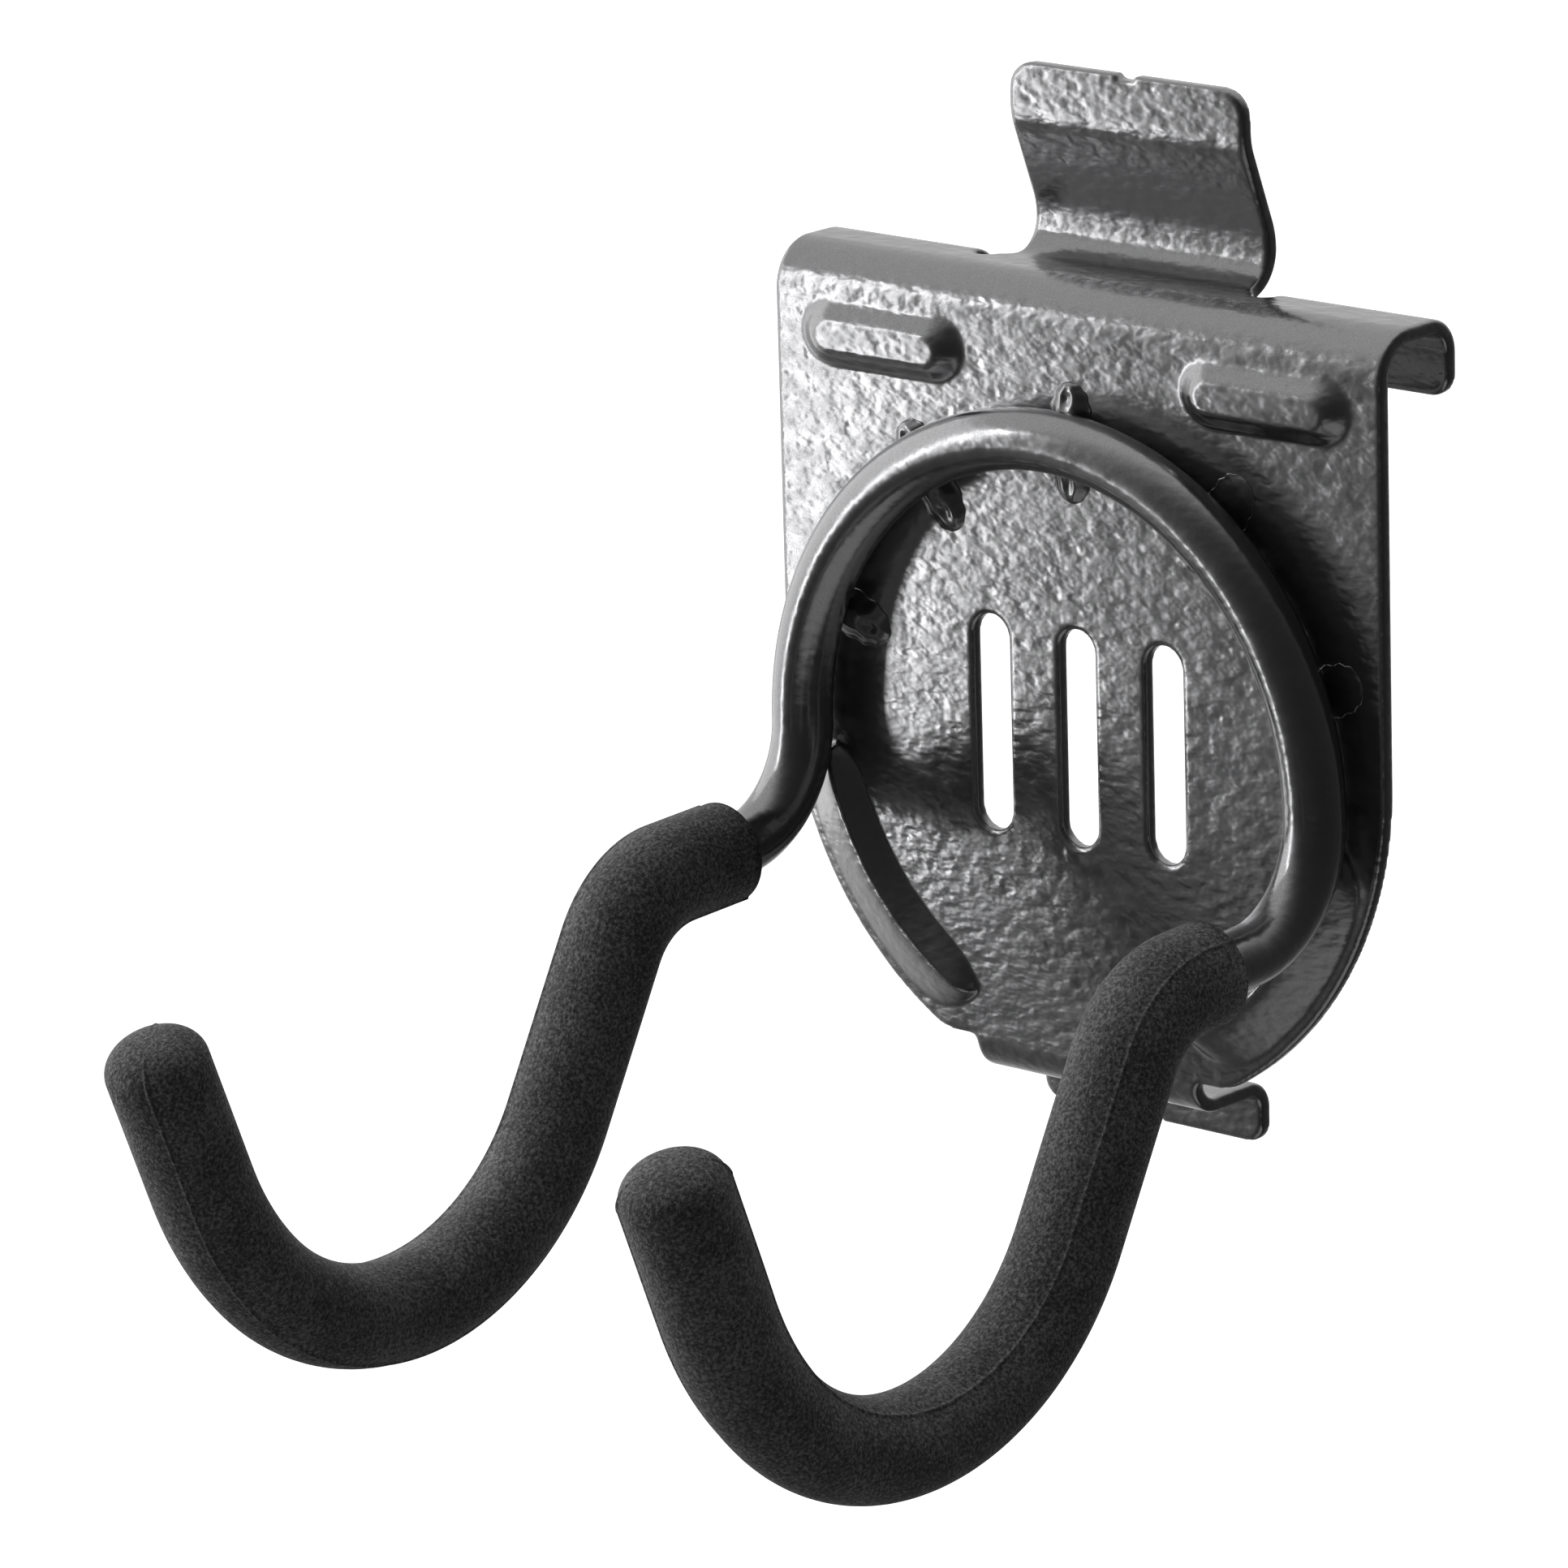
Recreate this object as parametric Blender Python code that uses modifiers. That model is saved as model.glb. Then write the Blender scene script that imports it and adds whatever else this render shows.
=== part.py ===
"""Bicycle wall rack: a twin-arm hook for a slatted wall panel.

One folded steel back plate hooks over a slat lip with its top channel and foot.
One bent steel rod, welded to the plate over raised weld beads, makes both arms.
A soft sleeve covers each arm. Frame: metres, +Z up, -Y towards the user.
The origin is the middle of the bearing face, under the top of the channel.
"""
import bpy
import bmesh
from math import asin, atan2, cos, degrees, pi, radians, sin, sqrt
from mathutils import Vector

MM = 0.001

# ---------------------------------------------------------------- sheet steel
SHEET_T = 2.3 * MM            # sheet thickness
PLATE_W = 118.0 * MM          # width of the plate and of the channel
ARC_ABOVE_LOOP = 4.4 * MM     # centre of the round lower edge, above the rod loop's
CHANNEL_DEPTH = 18.3 * MM     # outside depth of the channel, front to back
FRONT_BEND_R = 7.5 * MM       # outside radius, plate into channel top
BACK_BEND_R = 5.5 * MM        # outside radius, channel top into flange
FLANGE_DROP = 12.4 * MM       # channel top down to the flange's edge
FLANGE_CORNER_R = 3.5 * MM
FLANGE_INNER_X = 29.0 * MM    # inner end of each flange, from the middle
FLANGE_INNER_R = 1.5 * MM

RELIEF_R = 2.0 * MM           # round relief between flange and tongue
RELIEF_BACK = 5.0 * MM        # relief centre, from the channel's back

TONGUE_W = 45.6 * MM
TONGUE_RISE = 29.9 * MM       # top edge above the channel top
TONGUE_ROOT_R = 5.0 * MM      # inside radius where the tongue turns up
TONGUE_BACK = 3.4 * MM        # furthest back, beyond the channel's back
TONGUE_LEAN = radians(21.0)   # forward lean of the middle run
TONGUE_LEAN_R = 11.0 * MM
TONGUE_RUN = 11.5 * MM        # straight length of the leaning run
TONGUE_CORNER_R = 4.5 * MM
TONGUE_FLARE = 1.6            # length of the root's flare over its width
NICK_W = 4.0 * MM             # small nick at the middle of the top edge
NICK_D = 0.8 * MM

TAB_W = 43.4 * MM             # width of the foot tab and of its lip
TAB_STEP_RISE = 7.1 * MM      # shoulders beside the tab, above the round edge's foot
TAB_STEP_R = 0.8 * MM         # small corner where tab and shoulder meet
FOOT_FALL = 5.8 * MM          # shoulders down to the underside of the shelf
FOOT_DEPTH = 18.3 * MM        # outside depth of the foot
FOOT_BEND_R = 5.5 * MM        # outside radius, plate into shelf
LIP_BEND_R = 4.6 * MM         # outside radius, shelf into lip
LIP_FALL = 7.9 * MM           # underside of the shelf down to the lip's edge
LIP_CORNER_R = 3.0 * MM

# ---------------------------------------------------------- embossed features
BOSS_INSET = 21.7 * MM        # middle of each stiffening boss, in from the side
BOSS_DROP = 10.4 * MM
BOSS_L = 32.0 * MM
BOSS_W = 10.6 * MM
BOSS_H = 2.2 * MM
BEAD_INSET = 9.3 * MM         # middle of each curved bead, in from the round edge
BEAD_W = 11.0 * MM
BEAD_H = 3.0 * MM
BEAD_START = 7.2 * MM         # upper end, below the level where the rod bends away
BEAD_TO = radians(-64.0)      # lower end
PRESSED_WALL = 0.8            # thinnest steel over a pressed form, of the sheet
RIDGE_TIP = 0.35              # size of a ridge at its very end, of its full size
SLOT_COUNT = 3
SLOT_PITCH = 17.0 * MM
SLOT_W = 7.0 * MM
SLOT_L = 34.0 * MM
SLOT_RISE = 3.0 * MM          # slots' middle, above the loop's centre

# ------------------------------------------------------------------ bent rod
ROD_D = 9.5 * MM
LOOP_INSET = 8.55 * MM        # centre line of the loop's sides, in from the plate's
LOOP_CROWN_DROP = 20.15 * MM  # bearing face down to the loop's crown
ROD_STANDOFF = 1.15 * MM      # clear space between rod and plate
BEND_OUT_R = 17.3 * MM        # loop side into arm
BEND_OUT = radians(87.8)
ARM_RUN = 14.7 * MM           # straight run out from the plate
BEND_DOWN_R = 16.4 * MM
BEND_DOWN = radians(59.0)
ARM_DROP_RUN = 26.9 * MM      # straight run down into the cradle
CRADLE_R = 40.7 * MM
CRADLE_TURN = radians(107.2)
LIFT_R = 51.8 * MM            # wider curve up to the tip
LIFT_TURN = radians(22.3)
TIP_RUN = 21.4 * MM           # straight run at the tip
ROD_END_SETBACK = 4.0 * MM    # rod end short of the sleeve's tip centre

# ------------------------------------------------------------------- sleeves
SLEEVE_D = 15.8 * MM
SLEEVE_GAP = 0.3 * MM         # clearance between rod and sleeve
SLEEVE_MOUTH = 2.4 * MM       # left mouth, past the end of the outward bend
RIGHT_MOUTH_SHIFT = 6.8 * MM  # the right mouth sits this much further out
TIP_DOME = 5.0 * MM           # height of the sleeve's domed end
DOME_FULLNESS = 0.75          # 1 is an ellipse, less is a squarer shoulder
MOUTH_ROUND = 1.0 * MM

# --------------------------------------------------------------- weld beads
WELD_COUNT = 5
WELD_PITCH = radians(35.0)
WELD_L = 16.0 * MM
WELD_W = 5.4 * MM
WELD_H = 2.1 * MM             # bead height above the plate
WELD_GAP = 0.3 * MM           # clearance of a bead to plate and rod
CUT_PAST = 1.0 * MM           # how far a cutter runs past the face it opens

# -------------------------------------------------------------------- derived
HALF_T = SHEET_T / 2
ARC_R = PLATE_W / 2                   # the round lower edge runs into the sides
LOOP_R = PLATE_W / 2 - LOOP_INSET
LOOP_DROP = LOOP_CROWN_DROP + LOOP_R
ARC_DROP = LOOP_DROP - ARC_ABOVE_LOOP
TAB_STEP_DROP = ARC_DROP + ARC_R - TAB_STEP_RISE
FOOT_DROP = TAB_STEP_DROP + FOOT_FALL
LIP_DROP = FOOT_DROP + LIP_FALL
BOSS_X = PLATE_W / 2 - BOSS_INSET
BEAD_R = ARC_R - BEAD_INSET
BEAD_FROM = -asin((ARC_ABOVE_LOOP + BEAD_START) / BEAD_R)
SLOT_DROP = LOOP_DROP - SLOT_RISE
FRONT_Y = -CHANNEL_DEPTH / 2          # front face of the plate
MID_Y = FRONT_Y + HALF_T              # middle of the plate's sheet
TOP_MID_Z = HALF_T                    # middle of the channel top's sheet
ROD_R = ROD_D / 2
ROD_Y = FRONT_Y - ROD_STANDOFF - ROD_R
RING_STEP = radians(6.0)
BEND_STEP = radians(11.0)
WELD_STATIONS = 16
WELD_SIDES = 8
FOLD_STEP = radians(15.0)
DOME_END = radians(83.0)              # a dome stops short of a point


def clear_scene():
    for ob in list(bpy.data.objects):
        bpy.data.objects.remove(ob, do_unlink=True)


def collection(name):
    col = bpy.data.collections.new(name)
    bpy.context.scene.collection.children.link(col)
    return col


clear_scene()
PARTS = collection("bicycle_wall_rack")
TOOLS = collection("cutters")
ROOT = bpy.data.objects.new("rack_origin", None)
PARTS.objects.link(ROOT)


def material(name, colour, roughness, metallic):
    mat = bpy.data.materials.new(name)
    mat.use_nodes = True
    bsdf = mat.node_tree.nodes["Principled BSDF"]
    bsdf.inputs["Base Color"].default_value = (*colour, 1.0)
    bsdf.inputs["Roughness"].default_value = roughness
    bsdf.inputs["Metallic"].default_value = metallic
    return mat


PAINT = material("hammered_grey_paint", (0.075, 0.076, 0.080), 0.28, 0.75)
ROD_PAINT = material("smooth_grey_paint", (0.085, 0.086, 0.090), 0.22, 0.8)
WELD_PAINT = material("painted_weld", (0.070, 0.071, 0.075), 0.35, 0.7)
RUBBER = material("soft_black_rubber", (0.022, 0.022, 0.024), 0.85, 0.0)


def add_part(ob, mat):
    PARTS.objects.link(ob)
    ob.parent = ROOT
    ob.data.materials.clear()
    ob.data.materials.append(mat)
    return ob


def smooth(ob, angle=35.0):
    ob.data.shade_smooth()
    ob.data.set_sharp_from_angle(angle=radians(angle))


def as_tool(ob):
    TOOLS.objects.link(ob)
    ob.hide_render = True
    ob.display_type = "WIRE"
    return ob


def boolean(ob, tool, operation, solver="EXACT"):
    mod = ob.modifiers.new(tool.name, "BOOLEAN")
    mod.operation = operation
    mod.object = tool
    mod.solver = solver
    return mod


def curve_to_mesh(curve_ob, name):
    """The evaluated curve as a mesh object, its caps welded on."""
    deps = bpy.context.evaluated_depsgraph_get()
    mesh = bpy.data.meshes.new_from_object(curve_ob.evaluated_get(deps))
    bm = bmesh.new()
    bm.from_mesh(mesh)
    bmesh.ops.remove_doubles(bm, verts=bm.verts, dist=0.00001)
    bmesh.ops.recalc_face_normals(bm, faces=bm.faces)
    if bm.calc_volume(signed=True) < 0:
        bmesh.ops.reverse_faces(bm, faces=bm.faces)
    bm.to_mesh(mesh)
    bm.free()
    ob = bpy.data.objects.new(name, mesh)
    ob.matrix_world = curve_ob.matrix_world.copy()
    bpy.data.objects.remove(curve_ob, do_unlink=True)
    return ob


def tube(name, points, radius, resolution, scales=None):
    """A round bar along the points; scales thin it point by point."""
    data = bpy.data.curves.new(name + "_curve", "CURVE")
    data.dimensions = "3D"
    data.bevel_depth = radius
    data.bevel_resolution = resolution
    data.use_fill_caps = True
    spline = data.splines.new("POLY")
    spline.points.add(len(points) - 1)
    for i, p in enumerate(points):
        spline.points[i].co = (*p, 1.0)
        spline.points[i].radius = scales[i] if scales else 1.0
    ob = bpy.data.objects.new(name + "_curve", data)
    bpy.context.scene.collection.objects.link(ob)
    bpy.context.view_layer.update()
    return curve_to_mesh(ob, name)


# ------------------------------------------------------------- folded sheet
class Fold:
    """A bent line in the YZ plane, walked by its length: sheet strip or rod arm."""

    def __init__(self, y, z, heading):
        self.rows = [(0.0, y, z)]
        self.heading = heading

    def line(self, length):
        s, y, z = self.rows[-1]
        h = self.heading
        self.rows.append((s + length, y + cos(h) * length, z + sin(h) * length))
        return self

    def arc(self, radius, turn, step=FOLD_STEP):
        s, y, z = self.rows[-1]
        side = 1.0 if turn > 0 else -1.0
        h = self.heading
        cy = y - sin(h) * radius * side
        cz = z + cos(h) * radius * side
        steps = max(1, round(abs(turn) / step))
        for i in range(1, steps + 1):
            a = turn * i / steps
            vy, vz = y - cy, z - cz
            ny = cy + vy * cos(a) - vz * sin(a)
            nz = cz + vy * sin(a) + vz * cos(a)
            self.rows.append((s + abs(a) * radius, ny, nz))
        self.heading = h + turn
        return self

    def length(self):
        return self.rows[-1][0]

    def end(self):
        return self.rows[-1][1], self.rows[-1][2]

    def at(self, s):
        rows = self.rows
        for (s0, y0, z0), (s1, y1, z1) in zip(rows, rows[1:]):
            if s <= s1 or s1 == rows[-1][0]:
                f = (s - s0) / (s1 - s0)
                return y0 + (y1 - y0) * f, z0 + (z1 - z0) * f
        return rows[-1][1], rows[-1][2]


def sheet_folds():
    """The common strip, then its two continuations: flange and tongue."""
    foot_r = FOOT_BEND_R - HALF_T
    lip_r = LIP_BEND_R - HALF_T
    shelf_z = -FOOT_DROP + HALF_T
    lip_y = FRONT_Y + FOOT_DEPTH - HALF_T
    main = Fold(lip_y, -LIP_DROP, pi / 2)
    main.line(shelf_z - lip_r + LIP_DROP)
    main.arc(lip_r, pi / 2)
    main.line(FOOT_DEPTH - SHEET_T - lip_r - foot_r)
    main.arc(foot_r, -pi / 2)
    plate_from = main.length()
    front_r = FRONT_BEND_R - HALF_T
    main.line(TOP_MID_Z - front_r - main.end()[1])
    main.arc(front_r, -pi / 2)
    back_r = BACK_BEND_R - HALF_T
    relief_y = CHANNEL_DEPTH / 2 - RELIEF_BACK
    main.line(relief_y - RELIEF_R - main.end()[0])
    split = main.length()

    flange = Fold(*main.end(), 0.0)
    flange.line(CHANNEL_DEPTH / 2 - HALF_T - back_r - main.end()[0])
    flange.arc(back_r, -pi / 2)
    flange.line(flange.end()[1] - (SHEET_T - FLANGE_DROP))

    tongue = Fold(*main.end(), 0.0)
    root_r = TONGUE_ROOT_R + HALF_T
    back_y = CHANNEL_DEPTH / 2 + TONGUE_BACK - HALF_T
    tongue.line(back_y - root_r - main.end()[0])
    tongue.arc(root_r, pi / 2)
    tongue.arc(TONGUE_LEAN_R, TONGUE_LEAN)
    tongue.line(TONGUE_RUN)
    tongue.arc(TONGUE_LEAN_R, -TONGUE_LEAN)
    tongue.line(SHEET_T + TONGUE_RISE - tongue.end()[1])
    return main, flange, tongue, plate_from, split


def corner(cx, cy, radius, start, end, steps=4):
    pts = []
    for i in range(steps + 1):
        a = radians(start + (end - start) * i / steps)
        pts.append((cx + radius * cos(a), cy + radius * sin(a)))
    return pts


def flat_outline(main, flange, tongue, plate_from, split):
    """Right half of the flat blank: x across, s along the strip."""
    def plate_s(z):
        return plate_from + z - main.at(plate_from)[1]

    tab_x = TAB_W / 2
    side_x = PLATE_W / 2
    nick = NICK_W / 2
    out = [(0.0, NICK_D), (nick * 0.5, NICK_D), (nick, 0.0)]
    out += corner(tab_x - LIP_CORNER_R, LIP_CORNER_R, LIP_CORNER_R, -90, 0)
    step_z = -TAB_STEP_DROP
    arc_x = sqrt(ARC_R ** 2 - (step_z + ARC_DROP) ** 2)
    out.append((tab_x, plate_s(step_z) - TAB_STEP_R))
    out.append((tab_x + TAB_STEP_R, plate_s(step_z)))
    out.append((arc_x - TAB_STEP_R, plate_s(step_z)))
    first = degrees(atan2(step_z + ARC_DROP, arc_x))
    arc = corner(0.0, 0.0, ARC_R, first, 0.0, steps=12)
    out += [(x, plate_s(z - ARC_DROP)) for x, z in arc]

    flange_end = split + flange.length()
    out += corner(side_x - FLANGE_CORNER_R, flange_end - FLANGE_CORNER_R,
                  FLANGE_CORNER_R, 0, 90)
    out += corner(FLANGE_INNER_X + FLANGE_INNER_R, flange_end - FLANGE_INNER_R,
                  FLANGE_INNER_R, 90, 180, 3)
    hole_s = split + RELIEF_R
    hole_x = FLANGE_INNER_X - RELIEF_R
    out += corner(hole_x, hole_s, RELIEF_R, 0, -180, 8)
    tongue_x = TONGUE_W / 2
    flare = hole_x - RELIEF_R - tongue_x
    for i in range(1, 5):
        a = pi / 2 * i / 4
        out.append((tongue_x + flare * (1 - sin(a)),
                    hole_s + TONGUE_FLARE * flare * (1 - cos(a))))
    tongue_end = split + tongue.length()
    out += corner(tongue_x - TONGUE_CORNER_R, tongue_end - TONGUE_CORNER_R,
                  TONGUE_CORNER_R, 0, 90)
    out += [(nick, tongue_end), (nick * 0.5, tongue_end - NICK_D)]
    out.append((0.0, tongue_end - NICK_D))
    return out


def back_plate():
    main, flange, tongue, plate_from, split = sheet_folds()
    outline = flat_outline(main, flange, tongue, plate_from, split)
    data = bpy.data.curves.new("blank_curve", "CURVE")
    data.dimensions = "2D"
    data.fill_mode = "BOTH"
    spline = data.splines.new("POLY")
    spline.points.add(len(outline) - 1)
    for i, (x, s) in enumerate(outline):
        spline.points[i].co = (x, s, 0.0, 1.0)
    spline.use_cyclic_u = True
    curve_ob = bpy.data.objects.new("blank_curve", data)
    bpy.context.scene.collection.objects.link(curve_ob)
    bpy.context.view_layer.update()
    ob = curve_to_mesh(curve_ob, "back_plate")

    # score the blank at every fold row, then fold it
    folds = [s for s, _, _ in main.rows[1:]]
    folds += [split + s for s, _, _ in flange.rows[1:-1]]
    folds += [split + s for s, _, _ in tongue.rows[1:-1]]
    bm = bmesh.new()
    bm.from_mesh(ob.data)
    for s in sorted(folds):
        geom = list(bm.verts) + list(bm.edges) + list(bm.faces)
        bmesh.ops.bisect_plane(bm, geom=geom, dist=1e-7,
                               plane_co=(0.0, s, 0.0), plane_no=(0.0, 1.0, 0.0))
    divide_x = FLANGE_INNER_X - RELIEF_R
    for v in bm.verts:
        x, s = v.co.x, v.co.y
        if s <= split:
            y, z = main.at(s)
        elif x > divide_x:
            y, z = flange.at(s - split)
        else:
            y, z = tongue.at(s - split)
        v.co = (x, y, z)
    bmesh.ops.dissolve_limit(bm, angle_limit=radians(0.5), verts=bm.verts,
                             edges=bm.edges, use_dissolve_boundaries=False)
    bmesh.ops.recalc_face_normals(bm, faces=bm.faces)
    bm.to_mesh(ob.data)
    bm.free()
    mirror = ob.modifiers.new("mirror", "MIRROR")
    mirror.use_axis[0] = True
    mirror.use_clip = True
    mirror.merge_threshold = 0.00001
    solid = ob.modifiers.new("sheet", "SOLIDIFY")
    solid.thickness = SHEET_T
    solid.offset = 0.0
    solid.use_even_offset = True
    return ob


def ridge(name, points, half_w, height, floor, base_y=FRONT_Y):
    """A rounded ridge along points in the XZ plane, its ends tapered round.

    It stands out by its height from the plane at base_y, and runs back by floor.
    """
    steps = 4
    prof = bpy.data.curves.new(name + "_section", "CURVE")
    prof.dimensions = "2D"
    ring = [(half_w, -floor)]
    for i in range(2 * steps + 1):
        a = pi / 2 * i / steps
        ring.append((half_w * cos(a), height * sin(a)))
    ring.append((-half_w, -floor))
    ps = prof.splines.new("POLY")
    ps.points.add(len(ring) - 1)
    for i, (u, v) in enumerate(ring):
        ps.points[i].co = (u, v, 0.0, 1.0)
    ps.use_cyclic_u = True
    prof_ob = bpy.data.objects.new(name + "_section", prof)
    bpy.context.scene.collection.objects.link(prof_ob)

    total = [0.0]
    for a, b in zip(points, points[1:]):
        total.append(total[-1] + (Vector(b) - Vector(a)).length)
    length = total[-1]
    data = bpy.data.curves.new(name + "_curve", "CURVE")
    data.dimensions = "2D"
    data.bevel_mode = "OBJECT"
    data.bevel_object = prof_ob
    data.use_fill_caps = True
    data.fill_mode = "NONE"
    spline = data.splines.new("POLY")
    spline.points.add(len(points) - 1)
    for i, (x, z) in enumerate(points):
        inset = min(total[i], length - total[i])
        near = max(0.0, 1.0 - inset / half_w)
        spline.points[i].co = (x, z, 0.0, 1.0)
        spline.points[i].radius = max(RIDGE_TIP, sqrt(1.0 - near * near))
    ob = bpy.data.objects.new(name + "_curve", data)
    bpy.context.scene.collection.objects.link(ob)
    ob.rotation_euler = (pi / 2, 0.0, 0.0)
    ob.location = (0.0, base_y, 0.0)
    bpy.context.view_layer.update()
    out = curve_to_mesh(ob, name)
    bpy.data.objects.remove(prof_ob, do_unlink=True)
    return out


def end_spaced(length, half_w, middle_steps):
    """Distances along a ridge, closer together where its ends round off."""
    fine = [half_w * f for f in (0.0, 0.15, 0.4, 0.7, 1.0)]
    mid = [fine[-1] + (length - 2 * half_w) * i / middle_steps
           for i in range(1, middle_steps)]
    return fine + mid + [length - f for f in reversed(fine)]


def straight_points(cx, cz, length, angle, half_w):
    out = []
    for d in end_spaced(length, half_w, 1):
        u = d - length / 2
        out.append((cx + u * cos(angle), cz + u * sin(angle)))
    return out


def arc_points(radius, cz, start, end, half_w):
    length = radius * abs(end - start)
    out = []
    for d in end_spaced(length, half_w, 10):
        a = start + (end - start) * d / length
        out.append((radius * cos(a), cz + radius * sin(a)))
    return out


def emboss(plate, name, points_of, half_w, height):
    """Raise a ridge on the front and press its hollow into the back."""
    wall = PRESSED_WALL * SHEET_T
    up = ridge(name + "_out", points_of(half_w), half_w, height, HALF_T)
    boolean(plate, as_tool(up), "UNION", "MANIFOLD")
    inner = half_w - wall
    depth = height + SHEET_T - wall
    down = ridge(name + "_in", points_of(inner), inner, depth, CUT_PAST,
                 FRONT_Y + SHEET_T)
    boolean(plate, as_tool(down), "DIFFERENCE", "MANIFOLD")


def finish_plate(plate):
    for side, sign in (("left", -1), ("right", 1)):
        emboss(plate, "boss_" + side,
               lambda hw, s=sign: straight_points(s * BOSS_X, -BOSS_DROP, BOSS_L, 0.0, hw),
               BOSS_W / 2, BOSS_H)
        first = BEAD_FROM if sign > 0 else pi - BEAD_FROM
        last = BEAD_TO if sign > 0 else pi - BEAD_TO
        emboss(plate, "bead_" + side,
               lambda hw, a=first, b=last: arc_points(BEAD_R, -ARC_DROP, a, b, hw),
               BEAD_W / 2, BEAD_H)
    for i in range(SLOT_COUNT):
        x = (i - (SLOT_COUNT - 1) / 2) * SLOT_PITCH
        ring = corner(x, -SLOT_DROP + SLOT_L / 2 - SLOT_W / 2, SLOT_W / 2, 0, 180, 6)
        ring += corner(x, -SLOT_DROP - SLOT_L / 2 + SLOT_W / 2, SLOT_W / 2, 180, 360, 6)
        data = bpy.data.curves.new("slot_curve", "CURVE")
        data.dimensions = "2D"
        data.fill_mode = "BOTH"
        data.extrude = 2 * SHEET_T
        spline = data.splines.new("POLY")
        spline.points.add(len(ring) - 1)
        for k, (px, pz) in enumerate(ring):
            spline.points[k].co = (px, pz, 0.0, 1.0)
        spline.use_cyclic_u = True
        ob = bpy.data.objects.new("slot_curve", data)
        bpy.context.scene.collection.objects.link(ob)
        ob.rotation_euler = (pi / 2, 0.0, 0.0)
        ob.location = (0.0, MID_Y, 0.0)
        bpy.context.view_layer.update()
        tool = curve_to_mesh(ob, "slot_%d" % (i + 1))
        boolean(plate, as_tool(tool), "DIFFERENCE", "MANIFOLD")


# --------------------------------------------------------------- rod and arms
def arm_line():
    """Centre line of one arm, from the loop's side to the sleeve's tip."""
    walk = Fold(ROD_Y, -LOOP_DROP, -pi / 2)
    walk.arc(BEND_OUT_R, -BEND_OUT, BEND_STEP)
    walk.line(ARM_RUN)
    walk.arc(BEND_DOWN_R, BEND_DOWN, BEND_STEP)
    walk.line(ARM_DROP_RUN)
    walk.arc(CRADLE_R, -CRADLE_TURN, BEND_STEP)
    walk.arc(LIFT_R, -LIFT_TURN, BEND_STEP)
    walk.line(TIP_RUN)
    return walk


def arm_stations(walk, start, stop):
    """Points of the arm between two lengths, its own corners kept."""
    inner = [s for s, _, _ in walk.rows if start + 0.4 * MM < s < stop - 0.4 * MM]
    return [start] + inner + [stop]


def hook_rod():
    walk = arm_line()
    stop = walk.length() - ROD_END_SETBACK
    arm = [(LOOP_R, *walk.at(s)) for s in arm_stations(walk, 0.0, stop)]
    steps = round(pi / RING_STEP)
    loop = []
    for i in range(1, steps):
        a = pi - pi * i / steps
        loop.append((LOOP_R * cos(a), ROD_Y, -LOOP_DROP + LOOP_R * sin(a)))
    left = [(-x, y, z) for x, y, z in reversed(arm)]
    return tube("hook_rod", left + loop + arm, ROD_R, 4)


def sleeve(name, sign, mouth_shift):
    walk = arm_line()
    mouth = BEND_OUT_R * BEND_OUT + SLEEVE_MOUTH + mouth_shift
    end = walk.length()
    outer_r = SLEEVE_D / 2
    inner_r = ROD_R + SLEEVE_GAP
    body = arm_stations(walk, mouth, end)
    pts = [(sign * LOOP_R, *walk.at(s)) for s in body]
    scales = [1.0] * len(pts)
    lip = walk.at(mouth + MOUTH_ROUND)
    pts.insert(1, (sign * LOOP_R, *lip))
    scales[0] = (outer_r - MOUTH_ROUND) / outer_r
    scales.insert(1, 1.0)
    tip = Vector(pts[-1])
    ahead = (tip - Vector(pts[-2])).normalized()
    for i in range(1, 6):
        a = DOME_END * i / 5
        pts.append(tuple(tip + ahead * (TIP_DOME * sin(a) / sin(DOME_END))))
        scales.append(cos(a) ** DOME_FULLNESS)
    ob = tube(name, pts, outer_r, 6, scales)
    stop = end - ROD_END_SETBACK + SLEEVE_GAP
    bore = [(sign * LOOP_R, *walk.at(s)) for s in arm_stations(walk, mouth - CUT_PAST, stop)]
    tool = tube(name + "_bore", bore, inner_r, 4)
    boolean(ob, as_tool(tool), "DIFFERENCE")
    return ob


def under_rod(u):
    """Room under the rod's middle line for a weld, u away from that line."""
    reach = ROD_R + WELD_GAP
    if abs(u) >= reach:
        return WELD_H
    return min(WELD_H, ROD_STANDOFF + ROD_R - sqrt(reach * reach - u * u))


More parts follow.
